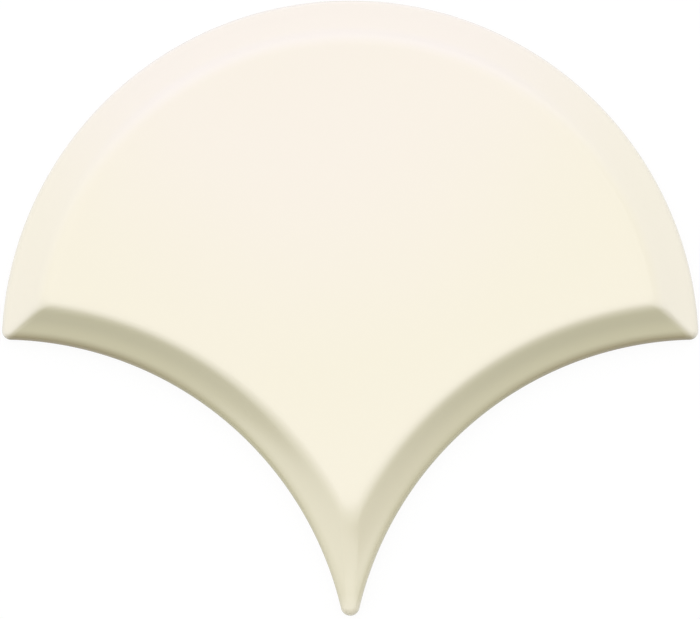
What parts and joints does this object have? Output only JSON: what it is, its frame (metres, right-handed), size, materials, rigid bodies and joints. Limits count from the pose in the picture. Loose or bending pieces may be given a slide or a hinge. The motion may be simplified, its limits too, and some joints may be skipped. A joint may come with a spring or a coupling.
{
  "type": "fish scale tile",
  "caption": "Cream glazed ceramic wall tile in a fish scale outline with a bevelled edge, a flat face and a ribbed back that is bedded in adhesive.",
  "frame": {"origin": "middle of the tile's box, on the plane of its back", "axes": "+X across the tile, +Y towards the round cap, +Z out of the glazed face"},
  "size_m": [0.1698, 0.15, 0.009],
  "materials": {
    "glaze": "gloss"
  },
  "bodies": {
    "root": {"fish_scale_tile": "glaze"}
  },
  "joints": []
}
